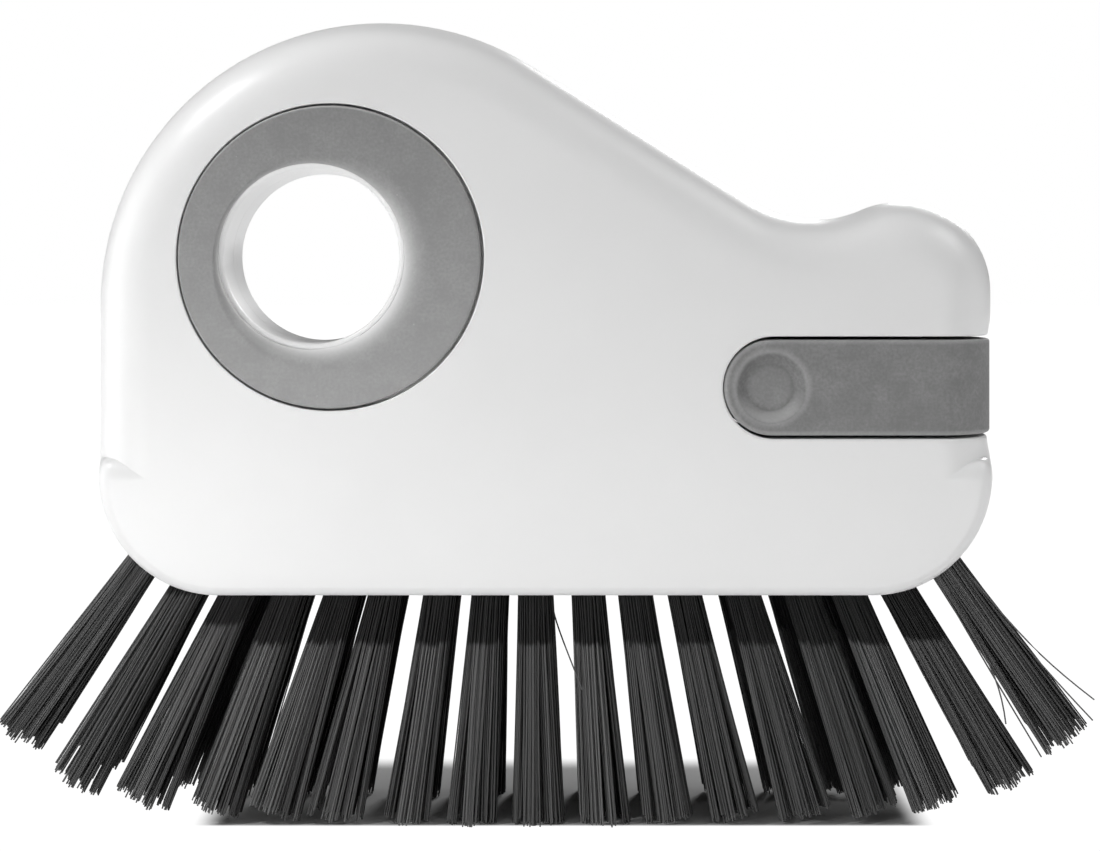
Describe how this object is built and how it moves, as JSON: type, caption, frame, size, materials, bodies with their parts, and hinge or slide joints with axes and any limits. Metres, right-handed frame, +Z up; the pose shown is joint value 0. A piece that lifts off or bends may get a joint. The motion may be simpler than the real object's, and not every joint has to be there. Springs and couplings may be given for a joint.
{
  "type": "window track brush",
  "caption": "Flat hand brush for window tracks with a finger and hanging hole, fanned bristle rows and a scraper that pulls out of its end.",
  "frame": {"origin": "on the floor under the middle of the brush, which stands on its bristle tips", "axes": "+Z up, +X along the bristle rows towards the end that the tool pulls out of, the front face looks along -Y"},
  "size_m": [0.1784, 0.022, 0.131],
  "materials": {
    "shell": "satin moulded white",
    "grip": "matt moulded grey",
    "bristle_block": "matt",
    "bristle": "extruded filament",
    "blade": "satin moulded"
  },
  "bodies": {
    "brush_body": {"front_shell": "shell", "back_shell": "shell", "front_ring_grip": "grip", "back_ring_grip": "grip", "bristle_block": "bristle_block", "front_tuft_01": "bristle", "front_tuft_02": "bristle", "front_tuft_03": "bristle", "front_tuft_04": "bristle", "front_tuft_05": "bristle", "front_tuft_06": "bristle", "front_tuft_07": "bristle", "front_tuft_08": "bristle", "front_tuft_09": "bristle", "front_tuft_10": "bristle", "front_tuft_11": "bristle", "front_tuft_12": "bristle", "front_tuft_13": "bristle", "front_tuft_14": "bristle", "front_tuft_15": "bristle", "front_tuft_16": "bristle", "front_tuft_17": "bristle", "back_tuft_01": "bristle", "back_tuft_02": "bristle", "back_tuft_03": "bristle", "back_tuft_04": "bristle", "back_tuft_05": "bristle", "back_tuft_06": "bristle", "back_tuft_07": "bristle", "back_tuft_08": "bristle", "back_tuft_09": "bristle", "back_tuft_10": "bristle", "back_tuft_11": "bristle", "back_tuft_12": "bristle", "back_tuft_13": "bristle", "back_tuft_14": "bristle", "back_tuft_15": "bristle", "back_tuft_16": "bristle", "back_tuft_17": "bristle"},
    "pull_out_tool": {"tool_grip": "grip", "tool_blade": "blade"}
  },
  "joints": [
    {"name": "tool_slide", "type": "slide", "parent": "brush_body", "child": "pull_out_tool", "axis": [1, 0, 0], "range_m": [0, 0.086]}
  ]
}
